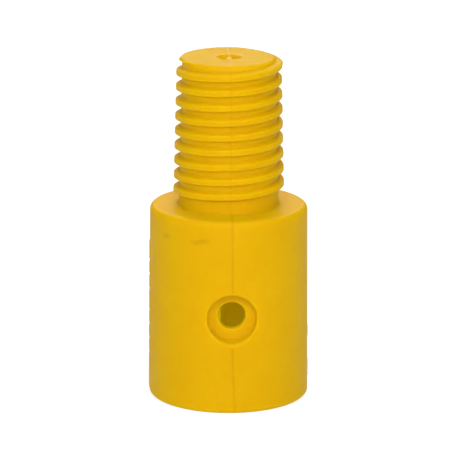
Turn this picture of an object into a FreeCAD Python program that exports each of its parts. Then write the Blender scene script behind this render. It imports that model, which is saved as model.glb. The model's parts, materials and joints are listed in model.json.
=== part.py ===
import FreeCAD, Part
import math
import os

import Sketcher
from FreeCAD import Placement, Rotation, Vector

# Screw-thread fence insulator: one injection moulding, in millimetres.
# +Z runs up along the threaded stud, and the origin is the centre of the barrel's open lower end.
# The two mould halves met on the YZ plane, and the cross hole lies along Y.

DIMENSIONS = {
    "barrel_foot_diameter": 27.3,
    "barrel_top_diameter": 26.86,
    "barrel_height": 33.5,
    "shoulder_edge_radius": 0.95,
    "foot_edge_radius": 0.9,
    "total_height": 58.95,
    "stud_foot_diameter": 17.08,
    "stud_top_diameter": 15.84,
    "stud_edge_radius": 0.8,
    "neck_fillet_radius": 1.0,
    "thread_pitch": 2.54,
    "thread_depth": 0.96,
    "thread_bevel": 0.16,
    "thread_crest_width": 0.70,
    "thread_bevel_width": 1.05,
    "thread_base_width": 1.90,
    "thread_overlap": 0.4,
    "thread_start_height": 35.49,
    "thread_full_turns": 9,
    "thread_last_turn": 0.3,
    "lead_in_diameter": 16.2,
    "lead_in_width": 1.0,
    "lead_in_drop": 1.2,
    "gate_well_diameter": 4.3,
    "gate_well_floor_diameter": 3.44,
    "gate_well_depth": 0.9,
    "gate_stub_diameter": 1.6,
    "gate_stub_height": 0.7,
    "socket_diameter": 19.3,
    "socket_depth": 29.0,
    "socket_edge_radius": 0.4,
    "stud_core_diameter": 9.0,
    "stud_core_tip_diameter": 5.0,
    "stud_core_shoulder": 50.0,
    "stud_core_depth": 52.0,
    "cross_hole_diameter": 4.7,
    "cross_hole_height": 16.7,
    "recess_diameter": 8.3,
    "recess_height": 16.5,
    "recess_depth": 2.3,
    "recess_rim_radius": 0.8,
    "seam_width": 0.3,
    "seam_height": 0.1,
    "seam_inner_radius": 12.0,
    "seam_clearance": 0.2,
    "seam_root": 0.5,
    "left_mark_height": 0.1,
    "right_mark_height": 0.05,
    "mark_width": 3.0,
    "long_mark_length": 3.0,
    "short_mark_length": 1.75,
    "foot_mark_length": 5.7,
    "mark_gap": 0.75,
    "left_marks_top": 26.9,
    "right_short_mark_top": 12.0,
    "right_long_mark_top": 6.0,
    "cut_clearance": 1.0,
}

# How closely an edge has to match a size, and how far a recess's rim stays from its floor.
MATCH = 0.01
RIM_MATCH = 0.02
RIM_ABOVE_FLOOR = 0.2
NOTHING = 1e-9
LEAST_VOLUME_CHANGE = 1e-3

document = FreeCAD.newDocument("fence_insulator")
sheet = document.addObject("Spreadsheet::Sheet", "Dimensions")
for row, (alias, value) in enumerate(DIMENSIONS.items(), start=1):
    sheet.set(f"A{row}", alias)
    sheet.set(f"B{row}", str(value))
    sheet.setAlias(f"B{row}", alias)
document.recompute()


def cell(alias):
    """The expression that reads one dimension from the sheet."""
    return f"Dimensions.{alias}"


def half(alias):
    """The expression for a radius kept in the sheet as a diameter."""
    return f"{cell(alias)} / 2"


def origin_item(body, role):
    """One of the body's own origin planes or axes, found by its role."""
    return next(item for item in body.Origin.OriginFeatures if item.Role == role)


def new_sketch(body, name, plane_role, offset=None):
    sketch = body.newObject("Sketcher::SketchObject", name)
    sketch.AttachmentSupport = [(origin_item(body, plane_role), "")]
    sketch.MapMode = "FlatFace"
    if offset:
        sketch.AttachmentOffset = offset
    return sketch


def bind_point(sketch, line, across, up):
    """Hold the start point of a line at two expressions measured from the sketch's origin."""
    for kind, expression in (("DistanceX", across), ("DistanceY", up)):
        value = float(sketch.evalExpression(expression))
        if abs(value) < NOTHING:
            axis = -2 if kind == "DistanceX" else -1
            sketch.addConstraint(Sketcher.Constraint("PointOnObject", line, 1, axis))
        elif value > 0:
            index = sketch.addConstraint(Sketcher.Constraint(kind, -1, 1, line, 1, value))
            sketch.setExpression(f"Constraints[{index}]", expression)
        else:
            index = sketch.addConstraint(Sketcher.Constraint(kind, line, 1, -1, 1, -value))
            sketch.setExpression(f"Constraints[{index}]", f"-({expression})")


def add_outline(sketch, corners):
    """A closed outline of straight sides through corners given as pairs of expressions."""
    places = [
        Vector(float(sketch.evalExpression(across)), float(sketch.evalExpression(up)), 0)
        for across, up in corners
    ]
    first = sketch.GeometryCount
    count = len(corners)
    for index in range(count):
        line = Part.LineSegment(places[index], places[(index + 1) % count])
        sketch.addGeometry(line, False)
    for index in range(count):
        following = first + (index + 1) % count
        sketch.addConstraint(Sketcher.Constraint("Coincident", first + index, 2, following, 1))
    for index, (across, up) in enumerate(corners):
        bind_point(sketch, first + index, across, up)


def add_circle(sketch, diameter, up):
    circle = Part.Circle(Vector(0, float(sketch.evalExpression(up)), 0), Vector(0, 0, 1), 1.0)
    line = sketch.addGeometry(circle, False)
    sketch.addConstraint(Sketcher.Constraint("PointOnObject", line, 3, -2))
    height = sketch.addConstraint(Sketcher.Constraint("DistanceY", -1, 1, line, 3, 1.0))
    sketch.setExpression(f"Constraints[{height}]", up)
    size = sketch.addConstraint(Sketcher.Constraint("Diameter", line, 2.0))
    sketch.setExpression(f"Constraints[{size}]", diameter)


def revolve(body, kind, name, sketch, angle="360", both_ways=False):
    """Turn a sketch about the body's own Z axis, to add or to cut."""
    feature = body.newObject(kind, name)
    feature.Profile = sketch
    feature.ReferenceAxis = (origin_item(body, "Z_Axis"), [""])
    feature.Midplane = both_ways
    feature.setExpression("Angle", angle)
    finish(feature)
    return feature


def finish(feature):
    """Recompute, and stop if the feature failed or changed nothing."""
    base = feature.BaseFeature
    before = base.Shape.Volume if base else 0.0
    document.recompute()
    if "Invalid" in feature.State or "Error" in feature.State:
        raise RuntimeError(f"{feature.Name} failed: {feature.State}")
    if abs(feature.Shape.Volume - before) < LEAST_VOLUME_CHANGE or len(feature.Shape.Solids) != 1:
        raise RuntimeError(f"{feature.Name} changed nothing or broke the solid")


def fillet(body, name, radius, test):
    """Round every edge of the body that the test picks."""
    base = body.Tip
    picked = [f"Edge{number}" for number, edge in enumerate(base.Shape.Edges, start=1) if test(edge)]
    if not picked:
        raise RuntimeError(f"{name} found no edge")
    feature = body.newObject("PartDesign::Fillet", name)
    feature.Base = (base, picked)
    feature.setExpression("Radius", radius)
    finish(feature)


def ring_at(diameter, height):
    """A test for full circles about Z, of this diameter at this height."""

    def test(edge):
        curve = edge.Curve
        if not isinstance(curve, Part.Circle):
            return False
        same_size = abs(2 * curve.Radius - diameter) < MATCH
        return same_size and abs(curve.Center.z - height) < MATCH

    return test


size = DIMENSIONS

body = document.addObject("PartDesign::Body", "insulator_moulding")
body.Label = "insulator_moulding"
document.recompute()

# Outside of the barrel, the shoulder and the plain tapered stud.
outside = new_sketch(body, "outside_profile", "XZ_Plane")
add_outline(
    outside,
    [
        ("0", "0"),
        (half("barrel_foot_diameter"), "0"),
        (half("barrel_top_diameter"), cell("barrel_height")),
        (half("stud_foot_diameter"), cell("barrel_height")),
        (half("stud_top_diameter"), cell("total_height")),
        ("0", cell("total_height")),
    ],
)
revolve(body, "PartDesign::Revolution", "outside", outside)
shoulder = ring_at(size["barrel_top_diameter"], size["barrel_height"])
fillet(body, "shoulder_edge", cell("shoulder_edge_radius"), shoulder)
fillet(body, "foot_edge", cell("foot_edge_radius"), ring_at(size["barrel_foot_diameter"], 0))
neck = ring_at(size["stud_foot_diameter"], size["barrel_height"])
fillet(body, "neck_fillet", cell("neck_fillet_radius"), neck)
stud_rim = ring_at(size["stud_top_diameter"], size["total_height"])
fillet(body, "stud_edge", cell("stud_edge_radius"), stud_rim)

# The thread: a right-hand ridge that starts at the back of the neck and runs out through the top edge.
# It is swept one turn at a time, each turn starting from a section on the narrower root above.
rise = f"({cell('total_height')} - {cell('barrel_height')})"
narrowing = f"({half('stud_foot_diameter')} - {half('stud_top_diameter')})"
pitch = cell("thread_pitch")
for number in range(size["thread_full_turns"] + 1):
    is_last = number == size["thread_full_turns"]
    middle = f"({cell('thread_start_height')} + {number} * {pitch})"
    lost = f"{narrowing} * ({middle} - {cell('barrel_height')}) / {rise}"
    root = f"({half('stud_foot_diameter')} - {lost})"
    crest = f"({root} + {cell('thread_depth')})"
    bevel = f"({crest} - {cell('thread_bevel')})"
    buried = f"({root} - {cell('thread_overlap')})"
    section = new_sketch(body, f"thread_section_{number + 1}", "YZ_Plane")
    add_outline(
        section,
        [
            (buried, f"{middle} - {half('thread_base_width')}"),
            (bevel, f"{middle} - {half('thread_bevel_width')}"),
            (crest, f"{middle} - {half('thread_crest_width')}"),
            (crest, f"{middle} + {half('thread_crest_width')}"),
            (bevel, f"{middle} + {half('thread_bevel_width')}"),
            (buried, f"{middle} + {half('thread_base_width')}"),
        ],
    )
    document.recompute()
    thread = body.newObject("PartDesign::AdditiveHelix", f"thread_turn_{number + 1}")
    thread.Profile = section
    thread.ReferenceAxis = (origin_item(body, "Z_Axis"), [""])
    thread.Mode = "pitch-height-angle"
    thread.setExpression("Pitch", pitch)
    thread.setExpression("Height", f"{pitch} * {cell('thread_last_turn')}" if is_last else pitch)
    thread.setExpression("Angle", f"-atan({narrowing} / {rise})")
    finish(thread)

# The top face cuts the ridge off square, and a lead-in cone bevels the ridge's last half turn.
above = new_sketch(body, "above_top", "XZ_Plane")
above_top = f"{cell('total_height')} + 2 * {pitch}"
lead_in_foot = f"{cell('total_height')} - {cell('lead_in_drop')}"
add_outline(
    above,
    [
        ("0", cell("total_height")),
        (half("lead_in_diameter"), cell("total_height")),
        (f"{half('lead_in_diameter')} + {cell('lead_in_width')}", lead_in_foot),
        (half("barrel_top_diameter"), lead_in_foot),
        (half("barrel_top_diameter"), above_top),
        ("0", above_top),
    ],
)
revolve(body, "PartDesign::Groove", "top_cut", above)

# The gate well in the top face, with the broken-off gate standing in it.
well = new_sketch(body, "gate_well_profile", "XZ_Plane")
well_floor = f"{cell('total_height')} - {cell('gate_well_depth')}"
stub_top = f"{well_floor} + {cell('gate_stub_height')}"
add_outline(
    well,
    [
        ("0", stub_top),
        (half("gate_stub_diameter"), stub_top),
        (half("gate_stub_diameter"), well_floor),
        (half("gate_well_floor_diameter"), well_floor),
        (half("gate_well_diameter"), cell("total_height")),
        (half("gate_well_diameter"), above_top),
        ("0", above_top),
    ],
)
revolve(body, "PartDesign::Groove", "gate_well", well)

# The socket for the post, open at the foot, and the narrower core that lightens the stud.
hollow = new_sketch(body, "socket_profile", "XZ_Plane")
below_foot = f"-{cell('cut_clearance')}"
add_outline(
    hollow,
    [
        ("0", below_foot),
        (half("socket_diameter"), below_foot),
        (half("socket_diameter"), cell("socket_depth")),
        (half("stud_core_diameter"), cell("socket_depth")),
        (half("stud_core_diameter"), cell("stud_core_shoulder")),
        (half("stud_core_tip_diameter"), cell("stud_core_depth")),
        ("0", cell("stud_core_depth")),
    ],
)
revolve(body, "PartDesign::Groove", "socket", hollow)
fillet(body, "socket_edge", cell("socket_edge_radius"), ring_at(size["socket_diameter"], 0))

# The cross hole goes through both walls, and each mouth is sunk in a flat-floored round recess
# whose middle is a little below the hole's.
hole = new_sketch(body, "cross_hole_circle", "XZ_Plane")
add_circle(hole, cell("cross_hole_diameter"), cell("cross_hole_height"))
cross_hole = body.newObject("PartDesign::Pocket", "cross_hole")
cross_hole.Profile = hole
cross_hole.Type = "ThroughAll"
cross_hole.Midplane = True
finish(cross_hole)
floor_place = f"({half('barrel_top_diameter')} - {cell('recess_depth')})"
for side, sign in (("front", 1), ("back", -1)):
    recess_circle = new_sketch(body, f"{side}_recess_circle", "XZ_Plane")
    recess_circle.setExpression("AttachmentOffset.Base.z", f"{sign} * {floor_place}")
    add_circle(recess_circle, cell("recess_diameter"), cell("recess_height"))
    document.recompute()
    recess = body.newObject("PartDesign::Pocket", f"{side}_recess")
    recess.Profile = recess_circle
    recess.setExpression("Length", half("barrel_top_diameter"))
    recess.Reversed = sign > 0
    finish(recess)


def is_recess_rim(edge):
    """True for the curved edge where a recess meets the outside of the barrel."""
    recess_radius = size["recess_diameter"] / 2
    floor_depth = size["barrel_top_diameter"] / 2 - size["recess_depth"]
    for point in edge.discretize(5):
        from_axis = math.hypot(point.x, point.z - size["recess_height"])
        if abs(from_axis - recess_radius) > RIM_MATCH or abs(point.y) < floor_depth + RIM_ABOVE_FLOOR:
            return False
    return True


fillet(body, "recess_rims", cell("recess_rim_radius"), is_recess_rim)

# A thin line of flash stands along the parting plane at the front and back, and across the top face.
seam = new_sketch(body, "seam_outline", "YZ_Plane")
flash = cell("seam_height")
top_radius = half("barrel_top_diameter")
height = cell("barrel_height")
edge_radius = cell("shoulder_edge_radius")
recess_reach = f"{half('recess_diameter')} + {cell('recess_rim_radius')} + {cell('seam_clearance')}"
below_recess = f"({cell('recess_height')} - ({recess_reach}))"
above_recess = f"({cell('recess_height')} + {recess_reach})"
eased = f"(1 - sqrt(0.5)) * {edge_radius}"
neck_foot = f"({half('stud_foot_diameter')} + {cell('neck_fillet_radius')})"
root_level = f"{height} - {cell('seam_root')}"


def barrel_radius(at_height):
    """The barrel's slightly tapered radius, as an expression."""
    lost = f"({half('barrel_foot_diameter')} - {top_radius})"
    return f"({half('barrel_foot_diameter')} - {lost} * {at_height} / {height})"


for sign in (1, -1):
    inner = f"{sign} * {cell('seam_inner_radius')}"
    lower_start = f"{sign} * ({barrel_radius(cell('foot_edge_radius'))} + {flash})"
    add_outline(
        seam,
        [
            (inner, cell("foot_edge_radius")),
            (lower_start, cell("foot_edge_radius")),
            (f"{sign} * ({barrel_radius(below_recess)} + {flash})", below_recess),
            (inner, below_recess),
        ],
    )
    add_outline(
        seam,
        [
            (inner, above_recess),
            (f"{sign} * ({barrel_radius(above_recess)} + {flash})", above_recess),
            (f"{sign} * ({top_radius} + {flash})", f"{height} - {edge_radius}"),
            (f"{sign} * ({top_radius} - {eased} + {flash})", f"{height} - {eased} + {flash}"),
            (f"{sign} * ({top_radius} - {edge_radius})", f"{height} + {flash}"),
            (f"{sign} * {neck_foot}", f"{height} + {flash}"),
            (f"{sign} * {neck_foot}", root_level),
            (inner, root_level),
        ],
    )
    near_well = f"{sign} * ({half('gate_well_diameter')} + {cell('seam_clearance')})"
    near_edge = f"{sign} * ({half('stud_top_diameter')} - {cell('stud_edge_radius')})"
    under_top = f"{cell('total_height')} - {cell('seam_root')}"
    over_top = f"{cell('total_height')} + {flash}"
    add_outline(
        seam,
        [
            (near_well, under_top),
            (near_edge, under_top),
            (near_edge, over_top),
            (near_well, over_top),
        ],
    )
document.recompute()
seam_flash = body.newObject("PartDesign::Pad", "seam_flash")
seam_flash.Profile = seam
seam_flash.setExpression("Length", cell("seam_width"))
seam_flash.Midplane = True
finish(seam_flash)

# Plain raised bars down the left side, the lowest running almost to the foot, and two on the right.


def bar_outline(top, length, proud):
    """Corners of one bar's section, from inside the wall to just proud of it."""
    bottom = f"({top} - {length})"
    inner = cell("seam_inner_radius")
    return [
        (inner, bottom),
        (f"{barrel_radius(bottom)} + {proud}", bottom),
        (f"{barrel_radius(top)} + {proud}", top),
        (inner, top),
    ]


left_marks = new_sketch(body, "left_mark_sections", "XZ_Plane")
left_marks.AttachmentOffset = Placement(Vector(), Rotation(Vector(0, 1, 0), 180))
document.recompute()
top = cell("left_marks_top")
proud = cell("left_mark_height")
long_bar = cell("long_mark_length")
short_bar = cell("short_mark_length")
foot_bar = cell("foot_mark_length")
left_bars = (long_bar, short_bar, short_bar, long_bar, short_bar, short_bar, short_bar, foot_bar)
for length in left_bars:
    add_outline(left_marks, bar_outline(f"({top})", length, proud))
    top = f"{top} - {length} - {cell('mark_gap')}"
right_marks = new_sketch(body, "right_mark_sections", "XZ_Plane")
proud = cell("right_mark_height")
for top, length in (
    (cell("right_short_mark_top"), short_bar),
    (cell("right_long_mark_top"), long_bar),
):
    add_outline(right_marks, bar_outline(top, length, proud))
document.recompute()
mark_angle = f"{cell('mark_width')} / {half('barrel_foot_diameter')} * 180 / pi"
revolve(body, "PartDesign::Revolution", "left_marks", left_marks, mark_angle, both_ways=True)
revolve(body, "PartDesign::Revolution", "right_marks", right_marks, mark_angle, both_ways=True)

for item in document.Objects:
    if "Invalid" in item.State or "Error" in item.State:
        raise RuntimeError(f"{item.Name} is {item.State}")
if body.Shape.isNull() or not body.Shape.isValid():
    raise RuntimeError("the moulding's shape is not valid")

os.makedirs("parts", exist_ok=True)
body.Shape.exportStep(f"parts/{body.Label}.step")
print(body.Label, round(body.Shape.Volume, 1), body.Shape.optimalBoundingBox())
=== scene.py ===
import json
import math

import bmesh
import bpy
from mathutils import Matrix, Vector, noise


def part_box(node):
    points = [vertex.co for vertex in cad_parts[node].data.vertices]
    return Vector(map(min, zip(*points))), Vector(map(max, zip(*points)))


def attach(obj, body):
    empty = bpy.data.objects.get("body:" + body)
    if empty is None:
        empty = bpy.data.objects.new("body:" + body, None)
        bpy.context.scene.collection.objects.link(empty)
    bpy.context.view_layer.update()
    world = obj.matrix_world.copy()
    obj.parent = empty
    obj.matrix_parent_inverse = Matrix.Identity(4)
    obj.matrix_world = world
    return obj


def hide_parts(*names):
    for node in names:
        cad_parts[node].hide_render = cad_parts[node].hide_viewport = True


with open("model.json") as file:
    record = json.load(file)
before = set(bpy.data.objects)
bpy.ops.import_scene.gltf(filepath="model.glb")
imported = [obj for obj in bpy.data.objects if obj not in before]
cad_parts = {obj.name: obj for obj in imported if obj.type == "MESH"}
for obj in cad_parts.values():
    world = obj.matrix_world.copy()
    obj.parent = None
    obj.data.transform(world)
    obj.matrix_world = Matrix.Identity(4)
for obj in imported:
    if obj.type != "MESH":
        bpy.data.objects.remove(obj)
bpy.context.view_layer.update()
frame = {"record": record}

# Screw-thread fence insulator. Shapes are worked out in millimetres and written to the mesh in metres.
MM = 0.001
NODE = "insulator_moulding"
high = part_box(NODE)[1]
mounts = {mount["name"]: mount for mount in frame["record"]["mounts"]}

# Sizes read from the frame.
TOP = mounts["threaded_stud"]["pos_m"][2] / MM
SHOULDER = mounts["shoulder_face"]["pos_m"][2] / MM
SOCKET_RADIUS = mounts["post_socket"]["dims"]["r_mm"]
SOCKET_DEPTH = mounts["post_socket"]["dims"]["length_mm"]
HOLE_RADIUS = mounts["cross_hole"]["dims"]["r_mm"]
HOLE_HEIGHT = mounts["cross_hole"]["pos_m"][2] / MM
FLOOR_DEPTH = mounts["cross_hole"]["dims"]["length_mm"] / 2
SEAM_PROUD = high.z / MM - TOP
FOOT_RADIUS = high.y / MM - SEAM_PROUD

# Sizes of the details.
DRAFT = 0.215
SHOULDER_EDGE = 0.95
FOOT_EDGE = 0.9
SOCKET_EDGE = 0.4
NECK_FILLET = 0.4
NECK_RADIUS = 8.54
STUD_TAPER = 0.02445
STUD_EDGE = 0.8
LEAD_IN_RADIUS = 8.1
LEAD_IN_SLOPE = 0.83
LEAD_IN_RIGHT = 0.2
LEAD_IN_BACK = 0.3
PITCH = 2.54
THREAD_DEPTH = 0.96
CREST_HALF = 0.38
FLANK_FOOT = 0.86
THREAD_START = 35.49
THREAD_START_ANGLE = 90.0
THREAD_RAMP = 45.0
THREAD_END = (9.12, 9.42)
THREAD_EAR = 0.22
CORE_RADIUS = 4.5
CORE_SHOULDER = 50.0
CORE_TIP_RADIUS = 2.5
CORE_TOP = 52.0
RECESS_RADIUS = 4.15
RECESS_HEIGHT = 16.5
RECESS_RIM = 0.6
RECESS_CORNER = 0.25
HOLE_EDGE = 0.15
WEB_REACH = 1.85
WEB_THICKNESS = 0.35
SEAM_HALF = 0.18
SEAM_DRIFT = 0.45
SEAM_DRIFT_BELOW = 14.0
MOULD_SLIP = 0.04
LEFT_PROUD = 0.1
RIGHT_PROUD = 0.05
MARK_WIDTH = 3.0
MARK_SOFT = 0.24
LONG_MARK = 3.0
SHORT_MARK = 1.75
FOOT_MARK = 5.7
MARK_GAP = 0.75
LEFT_MARKS_TOP = 26.9
LEFT_MARKS = (LONG_MARK, SHORT_MARK, SHORT_MARK, LONG_MARK, SHORT_MARK, SHORT_MARK, SHORT_MARK, FOOT_MARK)
RIGHT_MARKS = ((12.0, SHORT_MARK), (6.0, LONG_MARK))
WELL_RADIUS = 2.15
WELL_DEPTH = 0.9
WELL_EDGE_IN = 0.45
WELL_EDGE_WIDTH = 0.5
GATE_RADIUS = 0.38
SCRAP_OUT = 0.2
SCRAP_HALF = 0.42
WINDOW_ANGLE = 30.0
WINDOW_HEIGHT = 6.6
INNER_WINDOW = 3.6
CORE_BEVEL = 0.3

# How proud the line of flash is on the shoulder and the stud, as parts of its height on the barrel.
SHOULDER_FLASH = 0.8
STUD_FLASH = 0.6

# Rings of the top face: parts of the rim's radius outside, and radii in millimetres round the gate well.
TOP_PARTS = (0.97, 0.92, 0.85, 0.76, 0.66, 0.56, 0.46, 0.4, 0.37)
WELL_RADII = (
    2.6, 2.5, 2.4, 2.3, 2.2, 2.1, 2.0, 1.9, 1.8, 1.6, 1.4, 1.2, 1.05, 0.95, 0.85, 0.75, 0.6, 0.4, 0.2,
)

# Where a bar's soft edge has its rows, in parts of its width, and how close two heights count as one.
SOFT_PARTS = (-0.5, -0.17, 0.17, 0.5)
NEARLY = 1e-6

# Colours of the plastic, the colour that bounced light sees on it (painted shade), the painted glow inside
# the hollow, and places in metres of two small stains on the barrel's left.
PLASTIC_LIGHT = (0.87, 0.525, 0.0008)
PLASTIC_DEEP = (0.85, 0.495, 0.0005)
PLASTIC_GRAIN = (0.83, 0.49, 0.0005)
PLASTIC_STAIN = (0.55, 0.28, 0.004)
# Partly painted highlight: the broken gate, its scrap of flash and the raised line across the top face take
# this paler pinkish white. The broken gate's share is whitened plastic; the raised line's share is a painted
# highlight.
PLASTIC_BURR_AND_HIGHLIGHT = (1.0, 0.62, 0.2)
# Painted shade: light that bounces off the plastic sees this paler, less orange colour instead of the
# plastic's own, so shaded places keep nearly the hue of lit ones.
PLASTIC_BOUNCE = (0.74, 0.55, 0.06)
# Painted light: the inner faces of the hollow glow with this colour, standing in for light that comes in
# through the plastic and the open foot.
HOLLOW_GLOW = (0.060, 0.067, 0.0)
GLOSS = 0.057
LINE_DEPTH = 0.32
LINE_ON_STUD = 0.45
SMUDGES = ((-0.01085, -0.00807, 0.02990), (-0.0060, -0.01200, 0.0297), (-0.0048, -0.01255, 0.0301))
SMUDGE_REACH = 0.0006
SMUDGE_SQUASH = 0.42
SMUDGE_DEPTH = 0.42

# Light from the floor and the world, and how bright the camera itself sees both of them.
FLOOR_GLOW = 0.35
WORLD_LIGHT = 0.036
BACKDROP_SEEN = 0.8


def smooth(value):
    """0 below 0, 1 above 1, and an even S between."""
    value = min(1.0, max(0.0, value))
    return value * value * (3 - 2 * value)


def barrel_radius(z):
    return FOOT_RADIUS - DRAFT * z / SHOULDER


def root_radius(z):
    return NECK_RADIUS - STUD_TAPER * (z - SHOULDER)


def left_mark_spans():
    """(bottom, top) of the bars down the left side, from the top one down."""
    spans = []
    top = LEFT_MARKS_TOP
    for length in LEFT_MARKS:
        spans.append((top - length, top))
        top -= length + MARK_GAP
    return spans


LEFT_SPANS = left_mark_spans()
RIGHT_SPANS = [(top - length, top) for top, length in RIGHT_MARKS]


def mark_height(angle, z):
    """How far a raised bar stands proud at this angle (degrees) and height."""
    for middle, spans, proud in ((180.0, LEFT_SPANS, LEFT_PROUD), (0.0, RIGHT_SPANS, RIGHT_PROUD)):
        off = abs((angle - middle + 180) % 360 - 180)
        across = MARK_WIDTH / 2 - math.radians(off) * FOOT_RADIUS
        if across < -MARK_SOFT:
            continue
        for bottom, top in spans:
            up = min(z - bottom, top - z)
            inside = min(across, up)
            if inside > -MARK_SOFT / 2:
                return proud * smooth(inside / MARK_SOFT + 0.5)
    return 0.0


def seam_place(z):
    """The parting line is straight until it drifts sideways towards the foot."""
    below = max(0.0, SEAM_DRIFT_BELOW - z) / SEAM_DRIFT_BELOW
    return SEAM_DRIFT * below ** 1.5


def seam_off(x, y, z):
    """How far a point is from the parting line, in half widths of the line."""
    middle = seam_place(z) if y < 0 else 0.0
    return abs(x - middle) / SEAM_HALF


def seam_height(x, y, z, proud=1.0):
    """Height of the line of flash at a point, front or back."""
    off = seam_off(x, y, z)
    if off >= 1.5:
        return 0.0
    ragged = 0.75 + 0.25 * noise.noise(Vector((0.0, 3.0 if y < 0 else 9.0, z * 1.7)))
    return SEAM_PROUD * proud * ragged * (1 - smooth(off / 1.5))


def thread_height(angle, z):
    """The ridge's height above the root, for an angle in degrees about Z."""
    turn = ((angle - THREAD_START_ANGLE) % 360) / 360
    slip = MOULD_SLIP if math.cos(math.radians(angle)) > 0 else 0.0
    count = (z + slip - THREAD_START) / PITCH - turn
    nearest = round(count)
    if nearest < 0:
        return 0.0
    off = abs(count - nearest) * PITCH
    if off >= FLANK_FOOT:
        return 0.0
    started = smooth((nearest + turn) * 360 / THREAD_RAMP)
    ending = smooth((nearest + turn - THREAD_END[0]) / (THREAD_END[1] - THREAD_END[0]))
    ear = THREAD_EAR * max(0.0, math.cos(math.radians(angle))) ** 3 * smooth((z - TOP + 2.0) / 1.2)
    full = THREAD_DEPTH * started * (1 - ending) + ear
    if off <= CREST_HALF:
        return full
    along = (off - CREST_HALF) / (FLANK_FOOT - CREST_HALF)
    return full * (1 + math.cos(math.pi * along)) / 2


def column(angle, z):
    """A column's turn in radians at a height: the columns near the front follow the parting line."""
    off = abs((angle + 90 + 180) % 360 - 180)
    follow = 1 - smooth((off - 4.0) / 16.0)
    return math.radians(angle) + follow * seam_place(z) / FOOT_RADIUS


def graded_angles():
    """Column angles in degrees: close together at the parting line and at the bars' ends."""
    quarter = [0.0]
    step = 0.22
    while quarter[-1] + step < 75:
        quarter.append(quarter[-1] + step)
        step = min(step * 1.28, 3.0)
    mark_end = math.degrees(MARK_WIDTH / 2 / FOOT_RADIUS)
    soft = math.degrees(MARK_SOFT / FOOT_RADIUS)
    ends = [mark_end + soft * part for part in SOFT_PARTS]
    angles = set()
    for middle in (-90.0, 90.0):
        for offset in quarter:
            for sign in (1, -1):
                angles.add(round((middle + sign * offset) % 360, 4))
    for middle in (0.0, 180.0):
        for offset in [0.0, 3.0] + ends + [9.0, 12.0]:
            for sign in (1, -1):
                angles.add(round((middle + sign * offset) % 360, 4))
    tidy = []
    for angle in sorted(angles):
        if not tidy or angle - tidy[-1] > 0.15:
            tidy.append(angle)
    return tidy


ANGLES = graded_angles()


class Skin:
    """Points and faces of one mesh, where points at one place are one point."""

    def __init__(self):
        self.places = []
        self.numbers = {}
        self.faces = []

    def point(self, place):
        key = tuple(round(value, 5) for value in place)
        if key not in self.numbers:
            self.numbers[key] = len(self.places)
            self.places.append(place)
        return self.numbers[key]

    def face(self, *places):
        corners = []
        for place in places:
            number = self.point(place)
            if number not in corners:
                corners.append(number)
        if len(corners) > 2:
            self.faces.append(corners)

    def band(self, first, second, skip=None):
        """Quads between two closed rings of as many points."""
        count = len(first)
        for index in range(count):
            following = (index + 1) % count
            if skip and skip(index, following):
                continue
            self.face(first[index], first[following], second[following], second[index])

    def zip(self, first, second, turn_of):
        """Triangles between two closed rings of different counts, matched by their turn."""
        a = sorted(first, key=turn_of)
        b = sorted(second, key=turn_of)
        i = j = 0
        while i < len(a) or j < len(b):
            next_a = turn_of(a[i + 1]) if i + 1 < len(a) else 1.0 + turn_of(a[0])
            next_b = turn_of(b[j + 1]) if j + 1 < len(b) else 1.0 + turn_of(b[0])
            here_a, here_b = a[i % len(a)], b[j % len(b)]
            if j >= len(b) or (i < len(a) and next_a <= next_b):
                self.face(here_a, a[(i + 1) % len(a)], here_b)
                i += 1
            else:
                self.face(here_a, b[(j + 1) % len(b)], here_b)
                j += 1


def ring(radius_at, height_at):
    """A closed ring of points at every column angle."""
    points = []
    for angle in ANGLES:
        radius = radius_at(angle)
        turn = column(angle, height_at(angle))
        points.append((radius * math.cos(turn), radius * math.sin(turn), height_at(angle)))
    return points


def lifted_ring(radius, z, normal_out, normal_up, marks=False, proud=1.0):
    """A ring of the outer skin, pushed out along its normal by the parting line and the bars."""
    points = []
    for angle in ANGLES:
        turn = column(angle, z)
        x, y = radius * math.cos(turn), radius * math.sin(turn)
        lift = seam_height(x, y, z, proud)
        if marks:
            lift = max(lift, mark_height(angle, z))
        out = radius + lift * normal_out
        points.append((out * math.cos(turn), out * math.sin(turn), z + lift * normal_up))
    return points


def arc(steps):
    """Turns in radians from 0 to a quarter circle, without the first."""
    return [math.pi / 2 * step / steps for step in range(1, steps + 1)]


def barrel_heights():
    """Row heights of the barrel: even, with extra rows at the bars' ends and the windows' edges."""
    bottom, top = FOOT_EDGE, SHOULDER - SHOULDER_EDGE
    window = [HOLE_HEIGHT - WINDOW_HEIGHT, HOLE_HEIGHT + WINDOW_HEIGHT]
    fixed = [bottom, top] + window
    for span in LEFT_SPANS + RIGHT_SPANS:
        for end in span:
            fixed += [end + MARK_SOFT * part for part in SOFT_PARTS]
    fixed = sorted(value for value in fixed if bottom <= value <= top)
    kept = []
    for value in fixed:
        if not kept or value - kept[-1] > 0.06 or value in window:
            kept.append(value)
    rows = [kept[0]]
    for value in kept[1:]:
        gap = value - rows[-1]
        parts = max(1, math.ceil(gap / 1.3))
        start = rows[-1]
        rows += [start + gap * part / parts for part in range(1, parts + 1)]
    return rows


def in_window(angle, side):
    """Whether a column angle lies in the window round the cross hole at the front or back."""
    middle = -90.0 if side < 0 else 90.0
    off = abs((angle - middle + 180) % 360 - 180)
    return off <= WINDOW_ANGLE


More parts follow.
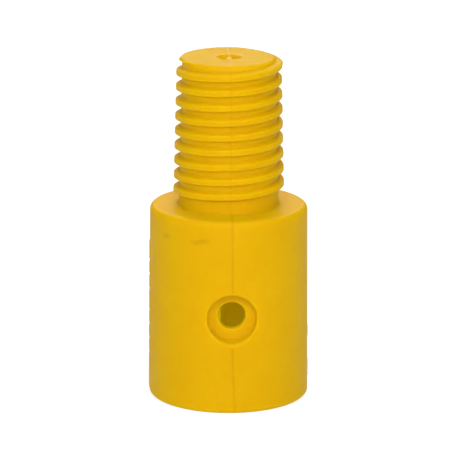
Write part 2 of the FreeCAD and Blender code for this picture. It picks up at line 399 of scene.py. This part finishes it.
def main_outer(skin):
    """The outer skin from the foot up to the middle of the top face."""
    rows = []
    under_foot = (SOCKET_RADIUS + SOCKET_EDGE, (SOCKET_RADIUS + FOOT_RADIUS) / 2, FOOT_RADIUS - FOOT_EDGE)
    for radius in under_foot:
        rows.append(ring(lambda angle, r=radius: r, lambda angle: 0.0))
    for turn in arc(6):
        out, up = math.sin(turn), -math.cos(turn)
        radius = FOOT_RADIUS - FOOT_EDGE + FOOT_EDGE * out
        height = FOOT_EDGE + FOOT_EDGE * up
        rows.append(lifted_ring(radius, height, out, 0.0, proud=out))
    foot_rows = len(rows) - 1
    heights = barrel_heights()
    for z in heights[1:]:
        rows.append(lifted_ring(barrel_radius(z), z, 1.0, 0.0, marks=True))
    barrel_top = len(rows) - 1
    edge_radius = barrel_radius(SHOULDER) - SHOULDER_EDGE
    for turn in arc(8):
        out, up = math.cos(turn), math.sin(turn)
        height = SHOULDER - SHOULDER_EDGE + SHOULDER_EDGE * up
        rows.append(lifted_ring(edge_radius + SHOULDER_EDGE * out, height, out, up))
    fillet_radius = NECK_RADIUS + NECK_FILLET
    for part in (0.33, 0.67, 1.0):
        radius = edge_radius + (fillet_radius - edge_radius) * part
        rows.append(lifted_ring(radius, SHOULDER, 0.0, 1.0, proud=SHOULDER_FLASH))
    for turn in arc(7):
        out, up = math.sin(turn), math.cos(turn)
        radius = fillet_radius - NECK_FILLET * out
        rows.append(lifted_ring(radius, SHOULDER + NECK_FILLET * (1 - up), out, up, proud=SHOULDER_FLASH))
    neck = SHOULDER + NECK_FILLET
    edge_start = TOP - STUD_EDGE
    steps = math.ceil((edge_start - neck) / 0.13)
    for step in range(1, steps + 1):
        rows.append(stud_ring(neck + (edge_start - neck) * step / steps))
    for turn in arc(10):
        rows.append(stud_ring(edge_start + STUD_EDGE * math.sin(turn)))
    rim = [math.hypot(x, y) for x, y, z in rows[-1]]
    for part in TOP_PARTS:
        rows.append(top_ring([radius * part for radius in rim]))
    for radius in WELL_RADII:
        rows.append(top_ring([radius] * len(ANGLES)))
    window_low, window_high = HOLE_HEIGHT - WINDOW_HEIGHT, HOLE_HEIGHT + WINDOW_HEIGHT
    for number, (first, second) in enumerate(zip(rows, rows[1:])):
        skip = None
        if foot_rows <= number < barrel_top:
            bottom = heights[number - foot_rows]
            if window_low - NEARLY <= bottom < window_high - NEARLY:
                skip = in_either_window
        skin.band(first, second, skip)
    centre = (0.0, 0.0, top_height(0.0, 0.0))
    last = rows[-1]
    for index, place in enumerate(last):
        skin.face(place, last[(index + 1) % len(last)], centre)
    barrel = {round(z, 6): rows[foot_rows + number] for number, z in enumerate(heights)}
    return heights, barrel


def in_either_window(index, following):
    for side in (-1, 1):
        if in_window(ANGLES[index], side) and in_window(ANGLES[following], side):
            return True
    return False


def stud_ring(z):
    """A ring of the stud: its rounded top edge, the thread's ridge and the lead-in that bevels the ridge."""
    over = max(0.0, z - (TOP - STUD_EDGE))
    rounded = STUD_EDGE - math.sqrt(max(0.0, STUD_EDGE ** 2 - over ** 2))
    points = []
    for angle in ANGLES:
        turn = math.radians(angle)
        cone = LEAD_IN_RADIUS + LEAD_IN_RIGHT * max(0.0, math.cos(turn))
        cone -= LEAD_IN_BACK * max(0.0, math.sin(turn)) ** 2
        cone += LEAD_IN_SLOPE * (TOP - z)
        ridge = thread_height(angle, z)
        plain = root_radius(z) - rounded * (1 - smooth(ridge / 0.3))
        radius = min(plain + ridge, max(plain, cone))
        radius += seam_height(radius * math.cos(turn), math.sin(turn), z, STUD_FLASH)
        points.append((radius * math.cos(turn), radius * math.sin(turn), z))
    return points


def gate_stub(x, y):
    """1 on the broken gate in the middle of the top face, 0 away from it."""
    reach = math.hypot(x, y)
    ragged = 0.12 * math.sin(2 * math.atan2(y, x) + 0.7)
    return 1 - smooth((reach - GATE_RADIUS - ragged) / 0.25)


def gate_scrap(x, y):
    """1 on the curved scrap of flash left standing on the back right edge of the gate well."""
    turn = math.degrees(math.atan2(y, x))
    along = smooth((turn - 2) / 12) * (1 - smooth((turn - 88) / 10))
    off = abs(math.hypot(x, y) - WELL_RADIUS - SCRAP_OUT)
    return along * (1 - smooth(off / SCRAP_HALF))


def gate_scar(x, y):
    """1 on the raised line across the top face and on the scrap of flash."""
    line = (1 - smooth(abs(x) / (SEAM_HALF * 1.5))) * (0.62 if y > 0 else 0.4)
    return max(line, gate_scrap(x, y))


def top_height(x, y):
    """Height of the top face: a gate well with the broken gate in it, and the parting line across."""
    reach = math.hypot(x, y)
    well = 1 - smooth((reach - (WELL_RADIUS - WELL_EDGE_IN)) / WELL_EDGE_WIDTH)
    height = TOP - WELL_DEPTH * well
    stub = gate_stub(x, y)
    ragged = 0.5 + 0.5 * noise.noise(Vector((x * 2.1, y * 2.1, 4.0)))
    height += stub * WELL_DEPTH * (0.6 + 0.4 * ragged)
    height += gate_scar(x, y) * (SEAM_PROUD * 0.9 * (1 - well) + 0.25 * well * (1 - stub))
    height += gate_scrap(x, y) * (WELL_DEPTH - 0.3) * well * (1 - stub)
    return height


def top_ring(radii):
    points = []
    for angle, radius in zip(ANGLES, radii):
        turn = math.radians(angle)
        x, y = radius * math.cos(turn), radius * math.sin(turn)
        points.append((x, y, top_height(x, y)))
    return points


def hole_turn(place):
    """How far round the cross hole a point is, from 0 to 1."""
    return (math.atan2(place[2] - HOLE_HEIGHT, place[0]) / (2 * math.pi)) % 1.0


def window_edge(heights, row_at, side):
    """The points round the edge of a window in the barrel's grid, in order about the hole."""
    rows = [z for z in heights if abs(z - HOLE_HEIGHT) <= WINDOW_HEIGHT + NEARLY]
    columns = [index for index, angle in enumerate(ANGLES) if in_window(angle, side)]
    points = []
    for z in (rows[0], rows[-1]):
        points += [row_at[round(z, 6)][index] for index in columns]
    ends = sorted(columns, key=lambda index: row_at[round(rows[0], 6)][index][0])
    for index in (ends[0], ends[-1]):
        points += [row_at[round(z, 6)][index] for z in rows[1:-1]]
    return sorted(points, key=hole_turn)


def on_barrel(x, z, side):
    y = side * math.sqrt(barrel_radius(z) ** 2 - x * x)
    lift = seam_height(x, y, z)
    return (x, y + side * lift, z)


def hole_patch(skin, edge, side):
    """The recess and the cross hole, as rings that shrink from the window's edge to the inner mouth."""
    turns = [hole_turn(place) * 2 * math.pi for place in edge]
    directions = [(math.cos(turn), math.sin(turn)) for turn in turns]

    def at(reach, depth=None, middle=RECESS_HEIGHT):
        """One ring at a reach from an axis along Y, on the barrel or at a depth from the middle."""
        points = []
        for across, up in directions:
            x, z = reach * across, middle + reach * up
            if depth is None:
                points.append(on_barrel(x, z, side))
            else:
                points.append((x, side * depth, z))
        return points

    rings = [edge]
    outer_reach = RECESS_RADIUS + RECESS_RIM
    for part in (0.25, 0.5, 0.72, 0.88, 1.0):
        points = []
        for (px, py, pz), (across, up) in zip(edge, directions):
            x = px * (1 - part) + (outer_reach * 1.03) * across * part
            z = pz * (1 - part) + (RECESS_HEIGHT + outer_reach * 1.03 * up) * part
            points.append(on_barrel(x, z, side))
        rings.append(points)
    surface = at(outer_reach)
    rings.append(surface)
    steps = 9
    for step in range(1, steps + 1):
        turn = math.pi / 2 * step / steps
        points = []
        for (across, up), start in zip(directions, surface):
            corner = on_barrel(RECESS_RADIUS * across, RECESS_HEIGHT + RECESS_RADIUS * up, side)
            reach = RECESS_RADIUS + RECESS_RIM * (1 - math.sin(turn))
            slope = (abs(start[1]) - abs(corner[1])) / RECESS_RIM
            sunk = RECESS_RIM * (1 - math.cos(turn))
            level = abs(corner[1]) + slope * (reach - RECESS_RADIUS) - sunk
            points.append((reach * across, side * level, RECESS_HEIGHT + reach * up))
        rings.append(points)
    last = rings[-1]
    floor = FLOOR_DEPTH
    for part in (0.5, 1.0):
        rings.append(
            [(x, side * (abs(y) + (floor + RECESS_CORNER - abs(y)) * part), z) for x, y, z in last]
        )
    for turn in arc(5):
        reach = RECESS_RADIUS - RECESS_CORNER * (1 - math.cos(turn))
        rings.append(at(reach, floor + RECESS_CORNER * (1 - math.sin(turn))))
    mouth = HOLE_RADIUS + HOLE_EDGE
    for part in (0.3, 0.65, 1.0):
        reach = RECESS_RADIUS - RECESS_CORNER + (mouth - RECESS_RADIUS + RECESS_CORNER) * part
        rings.append(at(reach, floor, RECESS_HEIGHT + (HOLE_HEIGHT - RECESS_HEIGHT) * part))
    for turn in arc(4):
        reach = mouth - HOLE_EDGE * math.sin(turn)
        rings.append(at(reach, floor - HOLE_EDGE * (1 - math.cos(turn)), HOLE_HEIGHT))
    inner = SOCKET_RADIUS
    web = inner + WEB_THICKNESS
    rings.append(at(HOLE_RADIUS, web, HOLE_HEIGHT))
    reach = -WEB_REACH if side < 0 else -HOLE_RADIUS
    rings.append([(max(x, reach), y, z) for x, y, z in rings[-1]])
    rings.append([(x, side * math.sqrt(inner * inner - x * x), z) for x, y, z in rings[-1]])
    for first, second in zip(rings, rings[1:]):
        skin.band(first, second)
    return rings[-1]


def main_inner(skin, mouths):
    """The socket and the narrower core above it, joined to the holes' inner mouths."""
    rows = [ring(lambda angle: SOCKET_RADIUS + SOCKET_EDGE, lambda angle: 0.0)]
    for turn in arc(4):
        radius = SOCKET_RADIUS + SOCKET_EDGE * (1 - math.sin(turn))
        height = SOCKET_EDGE * (1 - math.cos(turn))
        rows.append(ring(lambda angle, r=radius: r, lambda angle, h=height: h))
    window = (HOLE_HEIGHT - INNER_WINDOW, HOLE_HEIGHT + INNER_WINDOW)
    beside_hole = [HOLE_HEIGHT - 1.8, HOLE_HEIGHT, HOLE_HEIGHT + 1.8]
    heights = [4.0, 8.5, window[0]] + beside_hole + [window[1], 25.0, SOCKET_DEPTH - CORE_BEVEL]
    first_wall = len(rows)
    for z in heights:
        rows.append(ring(lambda angle: SOCKET_RADIUS, lambda angle, h=z: h))
    wall = dict(zip(heights, rows[first_wall:]))
    rows.append(ring(lambda angle: SOCKET_RADIUS - CORE_BEVEL, lambda angle: SOCKET_DEPTH))
    rows.append(ring(lambda angle: CORE_RADIUS + CORE_BEVEL, lambda angle: SOCKET_DEPTH))
    rows.append(ring(lambda angle: CORE_RADIUS, lambda angle: SOCKET_DEPTH + CORE_BEVEL))
    rows.append(ring(lambda angle: CORE_RADIUS, lambda angle: CORE_SHOULDER))
    rows.append(ring(lambda angle: CORE_TIP_RADIUS, lambda angle: CORE_TOP))
    for number, (first, second) in enumerate(zip(rows, rows[1:])):
        skip = None
        if first_wall <= number < first_wall + len(heights) - 1:
            bottom = heights[number - first_wall]
            if window[0] <= bottom < window[1]:
                skip = in_either_window
        skin.band(first, second, skip)
    last = rows[-1]
    for index, place in enumerate(last):
        skin.face(place, last[(index + 1) % len(last)], (0.0, 0.0, CORE_TOP))
    inside = [z for z in heights if window[0] <= z <= window[1]]
    for side, mouth in mouths.items():
        columns = [index for index, angle in enumerate(ANGLES) if in_window(angle, side)]
        ends = sorted(columns, key=lambda index: wall[inside[0]][index][0])
        points = [wall[z][index] for z in (inside[0], inside[-1]) for index in columns]
        points += [wall[z][index] for index in (ends[0], ends[-1]) for z in inside[1:-1]]
        skin.zip(mouth, points, hole_turn)


def mark_masks(mesh, places):
    """Numbers kept on every point: nearness to the parting line, depth in the hollow for its painted glow,
    and the whitened broken gate with its painted highlight.
    """
    line = mesh.attributes.new("parting_line", "FLOAT", "POINT")
    burr_and_highlight = mesh.attributes.new("gate_burr", "FLOAT", "POINT")
    hollow = mesh.attributes.new("hollow", "FLOAT", "POINT")
    for number, (x, y, z) in enumerate(places):
        reach = math.hypot(x, y)
        outside = smooth((reach - SOCKET_RADIUS - 0.6) / 0.8) if z < SHOULDER - 1 else 1.0
        near = 1 - smooth(seam_off(x, y, z) / 1.5)
        in_recess = math.hypot(x, z - RECESS_HEIGHT) < RECESS_RADIUS + RECESS_RIM
        on_top = z > TOP - 0.4
        faded = near * (LINE_ON_STUD if z > SHOULDER + NECK_FILLET else 1.0)
        line.data[number].value = 0.0 if in_recess or on_top else faded
        if z > TOP - WELL_DEPTH - 0.1 and reach < 7.2:
            burr_and_highlight.data[number].value = max(gate_stub(x, y), 0.8 * gate_scar(x, y))
        in_core = z >= SHOULDER - 1 and reach < CORE_RADIUS + 0.1 and z < CORE_TOP + 0.1
        hollow.data[number].value = 1.0 if in_core else 1 - outside


def build_moulding():
    skin = Skin()
    heights, row_at = main_outer(skin)
    mouths = {}
    for side in (-1, 1):
        mouths[side] = hole_patch(skin, window_edge(heights, row_at, side), side)
    main_inner(skin, mouths)
    mesh = bpy.data.meshes.new("moulded_insulator")
    mesh.from_pydata([[value * MM for value in place] for place in skin.places], [], skin.faces)
    work = bmesh.new()
    work.from_mesh(mesh)
    bmesh.ops.recalc_face_normals(work, faces=work.faces)
    for face in work.faces:
        face.smooth = True
    work.to_mesh(mesh)
    work.free()
    mark_masks(mesh, skin.places)
    piece = bpy.data.objects.new("moulded_insulator", mesh)
    bpy.context.scene.collection.objects.link(piece)
    return piece


def yellow_plastic():
    """Slightly cloudy yellow plastic: mottled, faintly streaked, darker along the parting line."""
    material = bpy.data.materials.new("yellow_plastic")
    material.use_nodes = True
    tree = material.node_tree
    shader = tree.nodes["Principled BSDF"]

    def add(kind, **settings):
        node = tree.nodes.new(kind)
        for name, value in settings.items():
            setattr(node, name, value)
        return node

    def link(source, target):
        tree.links.new(source, target)

    def fill(node, **values):
        for name, value in values.items():
            node.inputs[name.replace("_", " ")].default_value = value
        return node

    def math_node(operation, first, second=None):
        node = add("ShaderNodeMath", operation=operation)
        for index, value in enumerate((first, second)):
            if value is None:
                continue
            if isinstance(value, float):
                node.inputs[index].default_value = value
            else:
                link(value, node.inputs[index])
        return node.outputs[0]

    def noise_at(scale, stretch=(1, 1, 1), detail=3.0):
        placed = add("ShaderNodeMapping")
        placed.inputs["Scale"].default_value = stretch
        link(coordinates.outputs["Object"], placed.inputs["Vector"])
        node = fill(add("ShaderNodeTexNoise"), Scale=scale, Detail=detail)
        link(placed.outputs["Vector"], node.inputs["Vector"])
        return node.outputs["Fac"]

    def mix_colours(factor, first, second):
        node = add("ShaderNodeMix", data_type="RGBA")
        link(factor, node.inputs["Factor"])
        for index, value in ((6, first), (7, second)):
            if isinstance(value, tuple):
                node.inputs[index].default_value = value + (1,)
            else:
                link(value, node.inputs[index])
        return node.outputs[2]

    def ranged(value, low_in, high_in, low_out, high_out):
        node = add("ShaderNodeMapRange")
        link(value, node.inputs["Value"])
        numbers = {"From Min": low_in, "From Max": high_in, "To Min": low_out, "To Max": high_out}
        for name, number in numbers.items():
            node.inputs[name].default_value = number
        return node.outputs["Result"]

    coordinates = add("ShaderNodeTexCoord")
    mottle = ranged(noise_at(160.0), 0.35, 0.65, 0.0, 1.0)
    colour = mix_colours(mottle, PLASTIC_LIGHT, PLASTIC_DEEP)
    grain = ranged(noise_at(900.0, (1, 1, 1), 2.0), 0.4, 0.7, 0.0, 0.5)
    colour = mix_colours(grain, colour, PLASTIC_GRAIN)
    for place in SMUDGES:
        offset = add("ShaderNodeVectorMath", operation="SUBTRACT")
        link(coordinates.outputs["Object"], offset.inputs[0])
        offset.inputs[1].default_value = place
        squashed = add("ShaderNodeVectorMath", operation="MULTIPLY")
        link(offset.outputs["Vector"], squashed.inputs[0])
        squashed.inputs[1].default_value = (SMUDGE_SQUASH, SMUDGE_SQUASH, 1)
        away = add("ShaderNodeVectorMath", operation="LENGTH")
        link(squashed.outputs["Vector"], away.inputs[0])
        near = ranged(away.outputs["Value"], SMUDGE_REACH * 0.1, SMUDGE_REACH, SMUDGE_DEPTH, 0.0)
        colour = mix_colours(near, colour, PLASTIC_STAIN)
    line = add("ShaderNodeAttribute", attribute_name="parting_line")
    colour = mix_colours(math_node("MULTIPLY", line.outputs["Fac"], LINE_DEPTH), colour, PLASTIC_STAIN)
    # The broken gate and the raised line across the top face are painted a paler pinkish white: whitened
    # plastic on the gate, a painted highlight along the line.
    burr_and_highlight = add("ShaderNodeAttribute", attribute_name="gate_burr")
    colour = mix_colours(burr_and_highlight.outputs["Fac"], colour, PLASTIC_BURR_AND_HIGHLIGHT)
    # Painted shade: only camera rays see the plastic's own colour; bounced light sees the paler bounce
    # colour, so the shade stays less orange.
    rays = add("ShaderNodeLightPath")
    colour = mix_colours(rays.outputs["Is Camera Ray"], PLASTIC_BOUNCE, colour)
    link(colour, shader.inputs["Base Color"])
    # Painted light: the inner faces of the hollow glow, standing in for light that comes in through the
    # plastic and the open foot.
    hollow = add("ShaderNodeAttribute", attribute_name="hollow")
    fill(shader, Emission_Color=HOLLOW_GLOW + (1,))
    link(hollow.outputs["Fac"], shader.inputs["Emission Strength"])
    link(ranged(noise_at(420.0), 0.3, 0.7, 0.36, 0.48), shader.inputs["Roughness"])
    streaks = noise_at(1.0, (90.0, 90.0, 1500.0), 2.0)
    pebbles = noise_at(1100.0, (1, 1, 1), 1.0)
    height = math_node("ADD", math_node("MULTIPLY", streaks, 0.6), math_node("MULTIPLY", pebbles, 0.4))
    bump = fill(add("ShaderNodeBump"), Strength=0.25, Distance=0.00002)
    link(height, bump.inputs["Height"])
    link(bump.outputs["Normal"], shader.inputs["Normal"])
    shader.inputs["Specular IOR Level"].default_value = GLOSS
    shader.inputs["Subsurface Weight"].default_value = 1.0
    shader.inputs["Subsurface Radius"].default_value = (1.0, 0.8, 0.05)
    shader.inputs["Subsurface Scale"].default_value = 0.0012
    return material


def add_floor():
    mesh = bpy.data.meshes.new("floor")
    reach = 3.0
    corners = [(-reach, -reach, 0), (reach, -reach, 0), (reach, reach, 0), (-reach, reach, 0)]
    mesh.from_pydata(corners, [], [(0, 1, 2, 3)])
    floor = bpy.data.objects.new("floor", mesh)
    bpy.context.scene.collection.objects.link(floor)
    material = bpy.data.materials.new("pale_floor")
    material.use_nodes = True
    shader = material.node_tree.nodes["Principled BSDF"]
    shader.inputs["Base Color"].default_value = (0.4, 0.4, 0.4, 1)
    shader.inputs["Emission Color"].default_value = (1, 1, 1, 1)
    rays = material.node_tree.nodes.new("ShaderNodeLightPath")
    glow = material.node_tree.nodes.new("ShaderNodeMapRange")
    glow.inputs["To Min"].default_value = FLOOR_GLOW
    glow.inputs["To Max"].default_value = BACKDROP_SEEN
    material.node_tree.links.new(rays.outputs["Is Camera Ray"], glow.inputs["Value"])
    material.node_tree.links.new(glow.outputs["Result"], shader.inputs["Emission Strength"])
    shader.inputs["Roughness"].default_value = 0.9
    shader.inputs["Specular IOR Level"].default_value = 0.0
    floor.data.materials.append(material)


def add_camera():
    """A long lens about 15 degrees above the insulator, a little to the left of its parting line."""
    distance, height, azimuth = 0.6197, 0.1922, math.radians(-2.8)
    camera = bpy.data.cameras.new("camera")
    camera.sensor_width = 36
    camera.lens = 293.55
    camera.clip_start = 0.01
    item = bpy.data.objects.new("camera", camera)
    place = Matrix.Translation((distance * math.sin(azimuth), -distance * math.cos(azimuth), height))
    turned = Matrix.Rotation(azimuth - math.radians(0.021), 4, "Z")
    tilted = Matrix.Rotation(math.radians(90 - 14.78), 4, "X")
    rolled = Matrix.Rotation(math.radians(0.15), 4, "Z")
    item.matrix_world = place @ turned @ tilted @ rolled
    bpy.context.scene.collection.objects.link(item)
    bpy.context.scene.camera = item


def add_light(name, place, size, power, colour=(1, 1, 1)):
    lamp = bpy.data.lights.new(name, "AREA")
    lamp.shape = "SQUARE"
    lamp.size = size
    lamp.energy = power
    lamp.color = colour
    item = bpy.data.objects.new(name, lamp)
    item.location = place
    item.rotation_euler = (Vector((0, 0, 0.03)) - Vector(place)).to_track_quat("-Z", "Y").to_euler()
    bpy.context.scene.collection.objects.link(item)


def add_lights():
    """Softboxes above, behind and in front, so that the floor is white and the plastic softly shaded."""
    world = bpy.data.worlds.new("studio")
    world.use_nodes = True
    nodes, links = world.node_tree.nodes, world.node_tree.links
    nodes["Background"].inputs["Color"].default_value = (1, 1, 1, 1)
    rays = nodes.new("ShaderNodeLightPath")
    strength = nodes.new("ShaderNodeMapRange")
    strength.inputs["To Min"].default_value = WORLD_LIGHT
    strength.inputs["To Max"].default_value = BACKDROP_SEEN
    links.new(rays.outputs["Is Camera Ray"], strength.inputs["Value"])
    links.new(strength.outputs["Result"], nodes["Background"].inputs["Strength"])
    bpy.context.scene.world = world
    add_light("top_softbox", (0, 0.05, 0.8), 0.7, 1.85)
    add_light("back_softbox", (0, 0.7, 0.6), 0.7, 4.6, (1.0, 0.81, 0.86))
    add_light("high_front_softbox", (0, -0.75, 0.6), 0.6, 3.0)
    add_light("low_front_softbox", (0, -0.95, 0.25), 0.5, 1.93)
    add_light("left_softbox", (-0.65, -0.6, 0.4), 0.5, 1.8)
    add_light("right_softbox", (0.65, -0.6, 0.4), 0.5, 1.3)


piece = build_moulding()
piece.data.materials.append(yellow_plastic())
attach(piece, "root")
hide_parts(NODE)
add_floor()
add_camera()
add_lights()
scene = bpy.context.scene
scene.view_settings.view_transform = "Standard"
scene.view_settings.look = "None"
